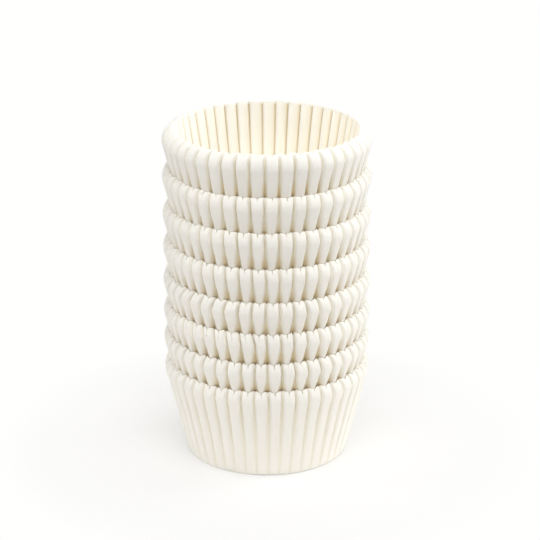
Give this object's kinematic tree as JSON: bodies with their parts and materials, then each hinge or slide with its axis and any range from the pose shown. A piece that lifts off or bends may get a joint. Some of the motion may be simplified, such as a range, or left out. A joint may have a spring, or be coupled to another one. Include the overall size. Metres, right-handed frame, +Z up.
{
  "type": "stack of cupcake liners",
  "caption": "Tall stack of round fluted white paper baking cups, nested in tiers that taper down to a narrow foot, with thick bevelled rims and an open cup on top.",
  "frame": {"origin": "centre of the foot of the lowest nest, on the surface that it stands on", "axes": "+Z up the stack's axis; X and Y level, with a pleat of the lowest nest on +X"},
  "size_m": [0.0648, 0.0648, 0.1065],
  "materials": {
    "white_liner_paper": "uncoated white greaseproof paper, very slightly cream, matte with a faint sheen on the crests"
  },
  "bodies": {
    "root": {"liner_nest_1": "white_liner_paper", "liner_nest_2": "white_liner_paper", "liner_nest_3": "white_liner_paper", "liner_nest_4": "white_liner_paper", "liner_nest_5": "white_liner_paper", "liner_nest_6": "white_liner_paper", "liner_nest_7": "white_liner_paper", "liner_nest_8": "white_liner_paper"}
  },
  "joints": []
}
